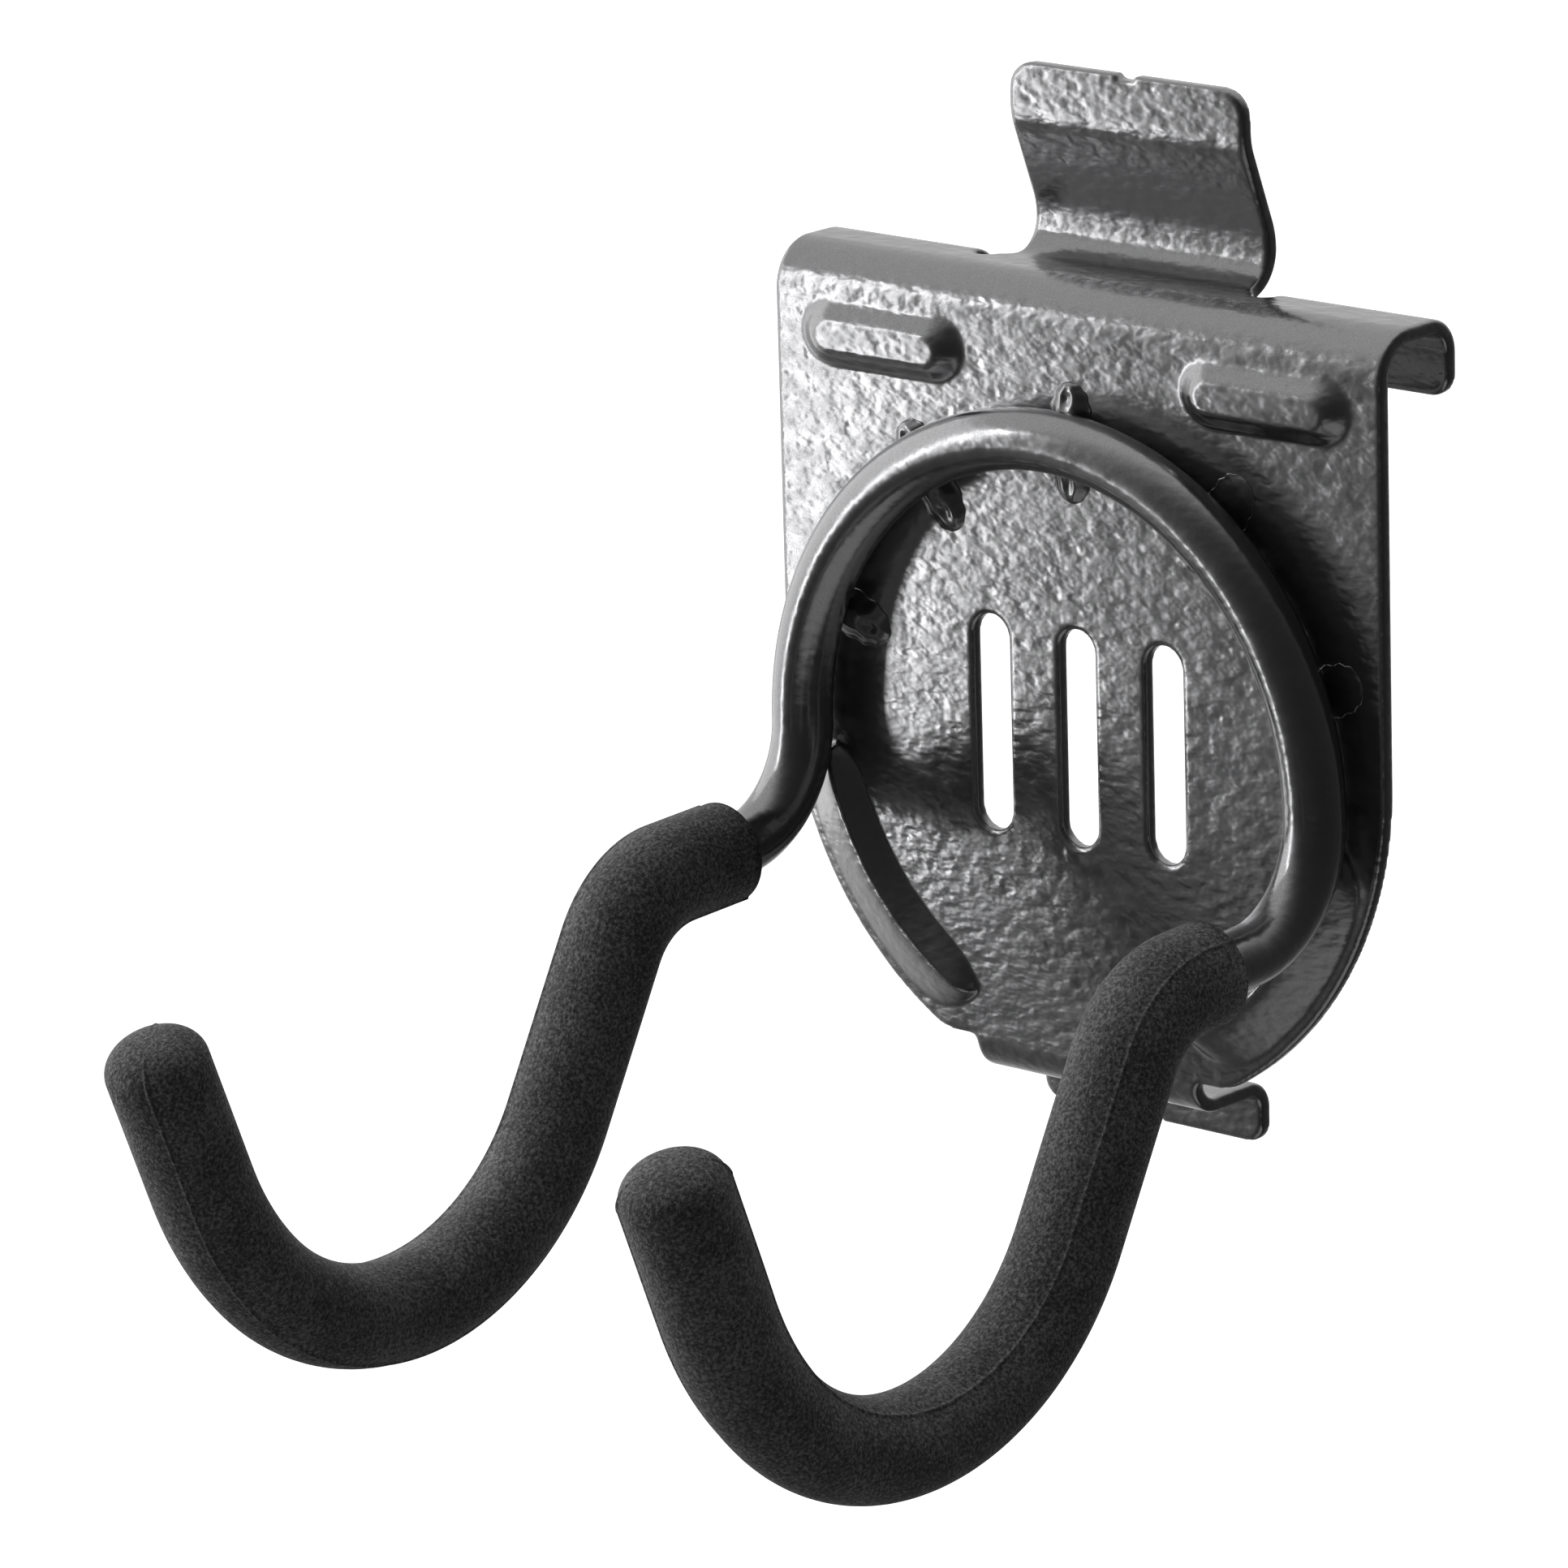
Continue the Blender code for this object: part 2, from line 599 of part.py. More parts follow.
def weld(index):
    """One weld bead, radial to the loop, hollowed to the rod: a loft of half rounds."""
    angle = pi / 2 + (index - (WELD_COUNT + 1) / 2) * WELD_PITCH
    sections = []
    for i in range(WELD_STATIONS + 1):
        u = -WELD_L / 2 * cos(pi * i / WELD_STATIONS)
        taper = max(RIDGE_TIP, sqrt(1.0 - (2 * u / WELD_L) ** 4))
        half_w = WELD_W / 2 * taper
        height = min(WELD_H * taper, under_rod(u))
        ring = []
        for k in range(WELD_SIDES + 1):
            a = pi * k / WELD_SIDES
            ring.append((half_w * cos(a), WELD_GAP + (height - WELD_GAP) * sin(a)))
        sections.append((LOOP_R + u, ring))
    bm = bmesh.new()
    rings = []
    for r, ring in sections:
        verts = []
        for v, h in ring:
            x = r * cos(angle) - v * sin(angle)
            z = -LOOP_DROP + r * sin(angle) + v * cos(angle)
            verts.append(bm.verts.new((x, FRONT_Y - h, z)))
        rings.append(verts)
    for low, high in zip(rings, rings[1:]):
        for k in range(len(low)):
            n = (k + 1) % len(low)
            bm.faces.new((low[k], low[n], high[n], high[k]))
    bm.faces.new(rings[0])
    bm.faces.new(rings[-1])
    bmesh.ops.recalc_face_normals(bm, faces=bm.faces)
    mesh = bpy.data.meshes.new("weld_%d" % index)
    bm.to_mesh(mesh)
    bm.free()
    return bpy.data.objects.new("weld_%d" % index, mesh)


plate = add_part(back_plate(), PAINT)
finish_plate(plate)
smooth(plate)
rod = add_part(hook_rod(), ROD_PAINT)
smooth(rod, 50.0)
left_sleeve = add_part(sleeve("sleeve_left", -1, 0.0), RUBBER)
smooth(left_sleeve, 50.0)
right_sleeve = add_part(sleeve("sleeve_right", 1, RIGHT_MOUTH_SHIFT), RUBBER)
smooth(right_sleeve, 50.0)
for n in range(1, WELD_COUNT + 1):
    bead = add_part(weld(n), WELD_PAINT)
    smooth(bead, 50.0)
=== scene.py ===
"""Looks of the bicycle wall rack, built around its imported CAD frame.

Metres, +Z up, +Y into the wall. The plate is a flat blank that is pressed and then
folded along the CAD's lines. The rod, sleeves and welds are swept along the same
centre lines as in the CAD.
"""
from math import asin, atan2, cos, pi, radians, sin, sqrt

import bmesh
import bpy
import numpy as np
from mathutils import Matrix, Vector

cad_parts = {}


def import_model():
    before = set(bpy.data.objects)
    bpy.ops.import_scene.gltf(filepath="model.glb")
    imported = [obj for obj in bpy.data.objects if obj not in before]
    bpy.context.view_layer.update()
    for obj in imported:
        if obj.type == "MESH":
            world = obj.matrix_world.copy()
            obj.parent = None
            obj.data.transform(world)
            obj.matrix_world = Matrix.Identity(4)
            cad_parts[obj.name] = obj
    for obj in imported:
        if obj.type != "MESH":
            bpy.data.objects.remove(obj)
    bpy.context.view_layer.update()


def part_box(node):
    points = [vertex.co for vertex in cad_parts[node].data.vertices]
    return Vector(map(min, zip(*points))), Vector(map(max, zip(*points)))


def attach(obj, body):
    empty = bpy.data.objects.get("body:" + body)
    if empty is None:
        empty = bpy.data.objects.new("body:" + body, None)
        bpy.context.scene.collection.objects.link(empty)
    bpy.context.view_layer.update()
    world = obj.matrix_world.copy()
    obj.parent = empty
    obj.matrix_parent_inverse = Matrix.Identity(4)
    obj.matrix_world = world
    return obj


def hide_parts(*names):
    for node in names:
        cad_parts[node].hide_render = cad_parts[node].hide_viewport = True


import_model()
MM = 0.001
BODY = "root"

# ------------------------------------------------------------- sizes, as in the CAD
SHEET_T = 2.3 * MM
PLATE_LOW, PLATE_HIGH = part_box("back_plate")
PLATE_W = PLATE_HIGH[0] - PLATE_LOW[0]
CHANNEL_DEPTH = 18.3 * MM
FRONT_BEND_R = 7.5 * MM
BACK_BEND_R = 5.5 * MM
FLANGE_DROP = 12.4 * MM
FLANGE_CORNER_R = 3.5 * MM
FLANGE_INNER_X = 29.0 * MM
FLANGE_INNER_R = 1.5 * MM
RELIEF_R = 2.0 * MM
RELIEF_BACK = 5.0 * MM
TONGUE_W = 45.6 * MM
TONGUE_RISE = 29.9 * MM
TONGUE_ROOT_R = 5.0 * MM
TONGUE_BACK = 3.4 * MM
TONGUE_LEAN = radians(21.0)
TONGUE_LEAN_R = 11.0 * MM
TONGUE_RUN = 11.5 * MM
TONGUE_CORNER_R = 4.5 * MM
TONGUE_FLARE = 1.6
NICK_W = 4.0 * MM
NICK_D = 0.8 * MM
TAB_W = 43.4 * MM
TAB_STEP_RISE = 7.1 * MM
FOOT_FALL = 5.8 * MM
FOOT_DEPTH = 18.3 * MM
FOOT_BEND_R = 5.5 * MM
LIP_BEND_R = 4.6 * MM
LIP_FALL = 7.9 * MM
LIP_CORNER_R = 3.0 * MM
BOSS_INSET = 21.7 * MM
BOSS_DROP = 10.4 * MM
BOSS_L = 32.0 * MM
BOSS_W = 10.6 * MM
BOSS_H = 2.2 * MM
BEAD_INSET = 9.3 * MM
BEAD_W = 11.0 * MM
BEAD_H = 3.0 * MM
BEAD_TO = radians(-64.0)
SLOT_COUNT = 3
SLOT_PITCH = 17.0 * MM
SLOT_W = 7.0 * MM
SLOT_L = 34.0 * MM
SLOT_RISE = 3.0 * MM
ARC_ABOVE_LOOP = 4.4 * MM
LOOP_INSET = 8.55 * MM
LOOP_CROWN_DROP = 20.15 * MM
ROD_D = 9.5 * MM
ROD_STANDOFF = 1.15 * MM
BEND_OUT_R, BEND_OUT = 17.3 * MM, radians(87.8)
ARM_RUN = 14.7 * MM
BEND_DOWN_R, BEND_DOWN = 16.4 * MM, radians(59.0)
ARM_DROP_RUN = 26.9 * MM
CRADLE_R, CRADLE_TURN = 40.7 * MM, radians(107.2)
LIFT_R, LIFT_TURN = 51.8 * MM, radians(22.3)
TIP_RUN = 21.4 * MM
ROD_END_SETBACK = 4.0 * MM
SLEEVE_D = 15.8 * MM
SLEEVE_GAP = 0.3 * MM
SLEEVE_MOUTH = 2.4 * MM
RIGHT_MOUTH_SHIFT = 6.8 * MM
TIP_DOME = 5.0 * MM
DOME_FULLNESS = 0.75
WELD_COUNT = 5
WELD_PITCH = radians(35.0)
WELD_L = 16.0 * MM
WELD_W = 5.4 * MM
WELD_H = 2.1 * MM

# --------------------------------------------------- sizes of the look alone
TAB_STEP_R = 1.4 * MM          # inner corner beside the foot tab
BEAD_START = 5.5 * MM          # from the half loop's centre down to a bead's upper end
WELD_GAP = 0.1 * MM            # between a weld and the rod
WELD_INNER_EXTRA = 2.8 * MM    # more reach at a weld's inner end
VOXEL = 0.4 * MM
MERGE_DIST = 0.005 * MM
NICK_HALF_W = NICK_W * 0.5     # at its mouth
NICK_HALF_FLOOR = NICK_W * 0.3
ARC_FIRST_STEP = 1.2           # degrees from the foot tab's step to the first arc point
FLARE_STEPS = 8
PRESS_MARGIN = 2.0 * MM        # pressing stops here below the top, and runs past the foot

# Pressed bosses, measured in half their width
BOSS_END_L = 1.2               # length of the rounded ends
BOSS_FOOT = 1.08               # where the flank meets the plate
BOSS_FLANK = 0.76              # width of the flank, at mid height of the boss
BOSS_FLANK_LEAN = 0.16         # how much wider it is along the top than at mid height

# Pressed beads
BEAD_INNER_W = BEAD_W * 0.31   # flank towards the plate's middle
BEAD_OUTER_W = BEAD_W * 0.60
BEAD_OVERRUN = 0.5 * MM
BEAD_TAPER_L = 1.1 * BEAD_W
BEAD_TIP_W = 0.30              # width at the very ends, as a part of the full width
BEAD_TIP_SINK = 1.3
BEAD_CREST = 0.22              # roundness of the ridge
BEAD_FOOT = 0.06               # softness of the foot

# Rod, sleeves and welds
ARM_STATIONS = 260
LOOP_STATIONS = 180
ROD_SIDES = 48
SEAM_RISE, SEAM_W = 0.30 * MM, 0.24 * MM
SEAM_TIP = 1.3                 # times as high on the domed end
SEAM_NEAR = np.array([-1.2, -0.6, -0.35, -0.15, 0.0, 0.15, 0.35, 0.6, 1.2]) * MM
SEAM_REST = 34                 # ring points over half a turn, away from the seams
MOUTH_EDGE_R = 1.9 * MM
MOUTH_STEPS = 8
MOUTH_BORE = ((2.0, 0.0), (0.6, 0.1), (0.15, 0.35))    # depth and added radius, mm
SLEEVE_STATIONS = 330
SWELL_FROM, SWELL_RUN = 0.72, 0.2                      # parts of the sleeve's length
DOME_STEPS, DOME_END = 24, 24.4
WELD_STATIONS = 60
WELD_POINTS = 33
WELD_TIP = 0.004               # keeps the end rings from closing to a point
WELD_SPREAD = 0.74             # half width, as a part of WELD_W
WELD_RIPPLE, WELD_RIPPLE_PITCH = 0.05, 0.9
WELD_FLANK = 1.3
WELD_SWELL, WELD_CROWN = 0.66, 0.20                    # height at the ends, and more inside
WELD_FLAT_UNDER = 3            # welds below this number are nearly flat at the outer end
WELD_FLAT = 0.14
PIT_AT, PIT_R, PIT_W, PIT_DEPTH = 0.70, 1.1 * MM, 0.34, 0.45

HALF_T = SHEET_T / 2
FRONT_Y = -CHANNEL_DEPTH / 2
ARC_R = PLATE_W / 2
LOOP_R = PLATE_W / 2 - LOOP_INSET
LOOP_DROP = LOOP_CROWN_DROP + LOOP_R
ARC_DROP = LOOP_DROP - ARC_ABOVE_LOOP
TAB_STEP_DROP = ARC_DROP + ARC_R - TAB_STEP_RISE
FOOT_DROP = TAB_STEP_DROP + FOOT_FALL
LIP_DROP = FOOT_DROP + LIP_FALL
BOSS_X = PLATE_W / 2 - BOSS_INSET
BEAD_R = ARC_R - BEAD_INSET
BEAD_FROM = -asin((ARC_ABOVE_LOOP + BEAD_START) / BEAD_R)
SLOT_DROP = LOOP_DROP - SLOT_RISE
ROD_R = ROD_D / 2
ROD_Y = FRONT_Y - ROD_STANDOFF - ROD_R


# ------------------------------------------------------------ lines in YZ
class Line:
    """A bent line in the YZ plane, made of straight runs and arcs."""

    def __init__(self, y, z, heading):
        self.runs = []
        self.y, self.z, self.heading = y, z, heading
        self.total = 0.0

    def add(self, length, turn=0.0):
        bend = turn / length
        self.runs.append((self.total, length, self.y, self.z, self.heading, bend))
        self.y, self.z, self.heading = self.spot(length, self.runs[-1])[:3]
        self.total += length
        return self

    def arc(self, radius, turn):
        return self.add(radius * abs(turn), turn)

    @staticmethod
    def spot(ds, run):
        _, _, y, z, heading, bend = run
        h = heading + bend * ds
        if bend:
            return (y + (np.sin(h) - np.sin(heading)) / bend,
                    z - (np.cos(h) - np.cos(heading)) / bend, h)
        return y + np.cos(heading) * ds, z + np.sin(heading) * ds, h

    def at(self, s):
        """Y, Z and heading at each length s, run on straight past both ends."""
        s = np.asarray(s, dtype=float)
        y, z, h = np.zeros_like(s), np.zeros_like(s), np.zeros_like(s)
        for i, run in enumerate(self.runs):
            start, length = run[:2]
            first, last = i == 0, i == len(self.runs) - 1
            mine = ((s >= start) | first) & ((s < start + length) | last)
            y[mine], z[mine], h[mine] = self.spot(s[mine] - start, run)
        return y, z, h


def sheet_lines():
    """The sheet's middle line from lip to channel, then its two ways on from there."""
    foot_r = FOOT_BEND_R - HALF_T
    lip_r = LIP_BEND_R - HALF_T
    front_r = FRONT_BEND_R - HALF_T
    back_r = BACK_BEND_R - HALF_T
    root_r = TONGUE_ROOT_R + HALF_T
    shelf_z = -FOOT_DROP + HALF_T
    main = Line(FRONT_Y + FOOT_DEPTH - HALF_T, -LIP_DROP, pi / 2)
    main.add(shelf_z - lip_r + LIP_DROP)
    main.arc(lip_r, pi / 2)
    main.add(FOOT_DEPTH - SHEET_T - lip_r - foot_r)
    main.arc(foot_r, -pi / 2)
    plate_from = main.total
    main.add(HALF_T - front_r - main.z)
    main.arc(front_r, -pi / 2)
    main.add(CHANNEL_DEPTH / 2 - RELIEF_BACK - RELIEF_R - main.y)
    flange = Line(main.y, main.z, 0.0)
    flange.add(CHANNEL_DEPTH / 2 - HALF_T - back_r - main.y)
    flange.arc(back_r, -pi / 2)
    flange.add(flange.z - (SHEET_T - FLANGE_DROP))
    tongue = Line(main.y, main.z, 0.0)
    tongue.add(CHANNEL_DEPTH / 2 + TONGUE_BACK - HALF_T - root_r - main.y)
    tongue.arc(root_r, pi / 2)
    tongue.arc(TONGUE_LEAN_R, TONGUE_LEAN)
    tongue.add(TONGUE_RUN)
    tongue.arc(TONGUE_LEAN_R, -TONGUE_LEAN)
    tongue.add(SHEET_T + TONGUE_RISE - tongue.z)
    return main, flange, tongue, plate_from


MAIN, FLANGE, TONGUE, PLATE_FROM = sheet_lines()
SPLIT = MAIN.total
PLATE_BASE_Z = float(MAIN.at([PLATE_FROM])[1][0])


def corner(cx, cy, radius, start, end, steps=10):
    """Points along an arc, from angle start to angle end in degrees."""
    out = []
    for i in range(steps + 1):
        a = radians(start + (end - start) * i / steps)
        out.append((cx + radius * cos(a), cy + radius * sin(a)))
    return out


def half_outline():
    """Right half of the flat blank: x across, s up the strip."""
    def plate_s(z):
        return PLATE_FROM + z - PLATE_BASE_Z

    tab_x, side_x = TAB_W / 2, PLATE_W / 2
    out = [(0.0, NICK_D), (NICK_HALF_FLOOR, NICK_D), (NICK_HALF_W, 0.0)]
    out += corner(tab_x - LIP_CORNER_R, LIP_CORNER_R, LIP_CORNER_R, -90, 0)
    step_z = -TAB_STEP_DROP
    arc_x = sqrt(ARC_R ** 2 - (step_z + ARC_DROP) ** 2)
    out += corner(tab_x + TAB_STEP_R, plate_s(step_z) - TAB_STEP_R, TAB_STEP_R, 180, 90)
    out.append((arc_x - TAB_STEP_R, plate_s(step_z)))
    first = np.degrees(atan2(step_z + ARC_DROP, arc_x)) + ARC_FIRST_STEP
    out += [(x, plate_s(z - ARC_DROP)) for x, z in corner(0, 0, ARC_R, first, 0, 60)]
    end = SPLIT + FLANGE.total
    r = FLANGE_CORNER_R
    out += corner(side_x - r, end - r, r, 0, 90)
    r = FLANGE_INNER_R
    out += corner(FLANGE_INNER_X + r, end - r, r, 90, 180)
    hole_s = SPLIT + RELIEF_R
    hole_x = FLANGE_INNER_X - RELIEF_R
    out += corner(hole_x, hole_s, RELIEF_R, 0, -180, 16)
    tongue_x = TONGUE_W / 2
    flare = hole_x - RELIEF_R - tongue_x
    for i in range(1, FLARE_STEPS + 1):
        a = pi / 2 * i / FLARE_STEPS
        out.append((tongue_x + flare * (1 - sin(a)),
                    hole_s + TONGUE_FLARE * flare * (1 - cos(a))))
    end = SPLIT + TONGUE.total
    r = TONGUE_CORNER_R
    out += corner(tongue_x - r, end - r, r, 0, 90)
    return out + [(NICK_HALF_W, end), (NICK_HALF_FLOOR, end - NICK_D), (0.0, end - NICK_D)]


def slot_rings():
    """The closed outline of each slot on the flat blank."""
    middle = PLATE_FROM - SLOT_DROP - PLATE_BASE_Z
    reach = (SLOT_L - SLOT_W) / 2
    for i in range(SLOT_COUNT):
        x = (i - (SLOT_COUNT - 1) / 2) * SLOT_PITCH
        ring = corner(x, middle + reach, SLOT_W / 2, 0, 180, 20)
        yield ring + corner(x, middle - reach, SLOT_W / 2, 180, 360, 20)


def evaluated(ob, name):
    """A new object holding ob's evaluated mesh; ob is removed."""
    bpy.context.view_layer.update()
    deps = bpy.context.evaluated_depsgraph_get()
    mesh = bpy.data.meshes.new_from_object(ob.evaluated_get(deps))
    mesh.name = name
    bpy.data.objects.remove(ob, do_unlink=True)
    out = bpy.data.objects.new(name, mesh)
    bpy.context.scene.collection.objects.link(out)
    return out


def flat_blank():
    """The stamped blank, one closed slab with its slots, remeshed evenly."""
    data = bpy.data.curves.new("blank", "CURVE")
    data.dimensions = "2D"
    data.fill_mode = "BOTH"
    data.extrude = HALF_T
    right = half_outline()
    rings = [right + [(-x, s) for x, s in reversed(right[1:-1])]] + list(slot_rings())
    for ring in rings:
        spline = data.splines.new("POLY")
        spline.points.add(len(ring) - 1)
        for point, (x, s) in zip(spline.points, ring):
            point.co = (x, s, 0.0, 1.0)
        spline.use_cyclic_u = True
    ob = bpy.data.objects.new("blank", data)
    bpy.context.scene.collection.objects.link(ob)
    ob = evaluated(ob, "blank")
    bm = bmesh.new()
    bm.from_mesh(ob.data)
    bmesh.ops.remove_doubles(bm, verts=bm.verts, dist=MERGE_DIST)
    bmesh.ops.recalc_face_normals(bm, faces=bm.faces)
    bm.to_mesh(ob.data)
    bm.free()
    remesh = ob.modifiers.new("even", "REMESH")
    remesh.mode = "VOXEL"
    remesh.voxel_size = VOXEL
    soften = ob.modifiers.new("soft_edges", "SMOOTH")
    soften.factor = 0.5
    soften.iterations = 5
    return evaluated(ob, "plate_sheet")


def ease(t):
    """0 to 1 as t goes from 0 to 1, level at both ends."""
    t = np.clip(t, 0.0, 1.0)
    return t * t * (3.0 - 2.0 * t)


def pressed(x, z):
    """How far the pressed forms stand out of the plate's front."""
    out = np.zeros_like(x)
    half_w = BOSS_W / 2
    for side in (-1, 1):
        straight = BOSS_L / 2 - BOSS_END_L * half_w
        along = np.clip(np.abs(x - side * BOSS_X) - straight, 0.0, None)
        d = np.hypot(along / BOSS_END_L, z + BOSS_DROP) / half_w
        lean = np.clip((z + BOSS_DROP) / half_w, -1.0, 1.0)
        flank = BOSS_FLANK + BOSS_FLANK_LEAN * lean
        out = np.maximum(out, BOSS_H * ease((BOSS_FOOT - d) / flank))
    ax, az = np.abs(x), z + ARC_DROP
    rho = np.hypot(ax, az)
    angle = np.arctan2(az, ax)
    to_end = np.minimum(BEAD_R * (angle - BEAD_TO), BEAD_R * (BEAD_FROM - angle))
    full = np.clip((to_end + BEAD_OVERRUN) / BEAD_TAPER_L, 0.0, 1.0)
    full = np.sqrt(full * (2.0 - full))
    off = np.where(rho < BEAD_R, (BEAD_R - rho) / BEAD_INNER_W, (rho - BEAD_R) / BEAD_OUTER_W)
    d = off / (BEAD_TIP_W + (1.0 - BEAD_TIP_W) * full) + BEAD_TIP_SINK * (1.0 - full) ** 2
    peak = 1.0 - (np.sqrt(d * d + BEAD_CREST * BEAD_CREST) - BEAD_CREST)
    foot = np.clip(peak, 0, None) ** 2 / (4 * BEAD_FOOT)
    soft = np.where(peak > 2 * BEAD_FOOT, peak - BEAD_FOOT, foot)
    return np.maximum(out, BEAD_H * soft / (1.0 - BEAD_FOOT))


def set_places(mesh, places):
    mesh.vertices.foreach_set("co", np.asarray(places, dtype=np.float32).ravel())
    mesh.update()


def get_places(mesh):
    out = np.empty(len(mesh.vertices) * 3, dtype=np.float32)
    mesh.vertices.foreach_get("co", out)
    return out.reshape(-1, 3).astype(float)


def back_plate():
    """The flat blank, pressed and folded."""
    ob = flat_blank()
    x, s, n = get_places(ob.data).T
    y, z, h = MAIN.at(s)
    beyond = s > SPLIT
    wing = beyond & (np.abs(x) > FLANGE_INNER_X - RELIEF_R)
    blade = beyond & ~wing
    for mask, line in ((wing, FLANGE), (blade, TONGUE)):
        y[mask], z[mask], h[mask] = line.at(s[mask] - SPLIT)
    on_plate = (s > PLATE_FROM - PRESS_MARGIN) & (z < -PRESS_MARGIN) & ~beyond
    n = n + np.where(on_plate, pressed(x, z), 0.0)
    set_places(ob.data, np.column_stack([x, y - np.sin(h) * n, z + np.cos(h) * n]))
    ob.data.shade_smooth()
    return ob


# ------------------------------------------------------------ rod and sleeves
def arm_line():
    """One arm's centre line, from the end of the half loop to the sleeve's dome."""
    line = Line(ROD_Y, -LOOP_DROP, -pi / 2)
    line.arc(BEND_OUT_R, -BEND_OUT)
    line.add(ARM_RUN)
    line.arc(BEND_DOWN_R, BEND_DOWN)
    line.add(ARM_DROP_RUN)
    line.arc(CRADLE_R, -CRADLE_TURN)
    line.arc(LIFT_R, -LIFT_TURN)
    line.add(TIP_RUN)
    return line


ARM = arm_line()
MOUTH_S = BEND_OUT_R * BEND_OUT + SLEEVE_MOUTH


def skin(name, rings, close_start=True):
    """A skin over rings of points, joined in turn and closed at the last one."""
    count = len(rings[0])
    verts = np.vstack(rings)
    faces = []
    for i in range(len(rings) - 1):
        a, b = i * count, (i + 1) * count
        for k in range(count):
            n = (k + 1) % count
            faces.append((a + k, a + n, b + n, b + k))
    if close_start:
        faces.append(tuple(reversed(range(count))))
    faces.append(tuple(range((len(rings) - 1) * count, len(rings) * count)))
    mesh = bpy.data.meshes.new(name)
    mesh.from_pydata(verts.tolist(), [], faces)
    bm = bmesh.new()
    bm.from_mesh(mesh)
    bmesh.ops.recalc_face_normals(bm, faces=bm.faces)
    bm.to_mesh(mesh)
    bm.free()
    mesh.shade_smooth()
    ob = bpy.data.objects.new(name, mesh)
    bpy.context.scene.collection.objects.link(ob)
    return ob


def hook_rod():
    """The rod: arm, half loop on the plate, arm."""
    stop = ARM.total - ROD_END_SETBACK
    s = np.linspace(0.0, stop, ARM_STATIONS)
    y, z, h = ARM.at(s)
    centres, outs, ups = [], [], []
    for i in range(len(s) - 1, -1, -1):
        centres.append((-LOOP_R, y[i], z[i]))
        outs.append((-1.0, 0.0, 0.0))
        ups.append((0.0, -sin(h[i] + pi), cos(h[i] + pi)))
    for i in range(1, LOOP_STATIONS):
        a = pi - pi * i / LOOP_STATIONS
        centres.append((LOOP_R * cos(a), ROD_Y, -LOOP_DROP + LOOP_R * sin(a)))
        outs.append((cos(a), 0.0, sin(a)))
        ups.append((0.0, -1.0, 0.0))
    for i in range(len(s)):
        centres.append((LOOP_R, y[i], z[i]))
        outs.append((1.0, 0.0, 0.0))
        ups.append((0.0, sin(h[i]), -cos(h[i])))
    turn = np.linspace(0.0, 2 * pi, ROD_SIDES, endpoint=False)
    rings = []
    for c, o, u in zip(centres, outs, ups):
        rings.append(np.array(c) + ROD_R * (np.outer(np.cos(turn), o)
                                            + np.outer(np.sin(turn), u)))
    return skin("hook_rod_painted", rings)


def seam_angles(seam):
    """Ring angles, close together at the two parting lines."""
    near = SEAM_NEAR / (SLEEVE_D / 2)
    rest = np.linspace(0.0, pi, SEAM_REST)[2:-2]
    return np.concatenate([seam + near, seam + rest, seam + pi + near, seam + pi + rest])


def sleeve(name, sign, mouth_shift, seam, tip_swell):
    """A moulded sleeve: mouth, long tube and domed end, with two parting lines.

    seam is the parting line's angle from the outside of the bend towards +X, and
    tip_swell is how much the radius grows towards the domed end.
    """
    turn = seam_angles(seam)
    off = (turn - seam + pi / 2) % pi - pi / 2
    seam_rise = SEAM_RISE * np.exp(-(off * SLEEVE_D / 2 / SEAM_W) ** 2)
    outer = SLEEVE_D / 2
    bore = ROD_R + SLEEVE_GAP
    mouth_s = MOUTH_S + mouth_shift
    length = ARM.total - mouth_s
    plan = [(depth * MM, bore + more * MM) for depth, more in MOUTH_BORE]
    for i in range(MOUTH_STEPS + 1):
        a = pi / 2 * i / MOUTH_STEPS
        plan.append((MOUTH_EDGE_R * (1 - sin(a)),
                     outer - MOUTH_EDGE_R * (1 - cos(pi / 2 - a))))
    for d in np.linspace(MOUTH_EDGE_R, length, SLEEVE_STATIONS)[1:]:
        plan.append((d, outer + tip_swell * ease((d / length - SWELL_FROM) / SWELL_RUN)))
    tip_r = plan[-1][1]
    rows = []
    for d, r in plan:
        y, z, h = ARM.at([mouth_s + d])
        rows.append((y[0], z[0], h[0], r))
    y, z, h, _ = rows[-1]
    for i in range(1, DOME_STEPS + 1):
        a = pi / 2 * i / DOME_END
        rise = TIP_DOME * sin(a)
        rows.append((y + cos(h) * rise, z + sin(h) * rise, h, tip_r * cos(a) ** DOME_FULLNESS))
    side = np.array([1.0, 0.0, 0.0])
    rings = []
    for k, (y, z, h, r) in enumerate(rows):
        flash = 1.0 if k < len(plan) else SEAM_TIP
        raised = seam_rise * flash * min(1.0, r / outer) if k > len(MOUTH_BORE) else 0.0
        seamed = r + raised
        out = np.array([0.0, -sin(h), cos(h)])
        ring = np.array([sign * LOOP_R, y, z])
        ring = ring + np.outer(seamed * np.cos(turn), out) + np.outer(seamed * np.sin(turn), side)
        rings.append(ring)
    return skin(name, rings, close_start=False)


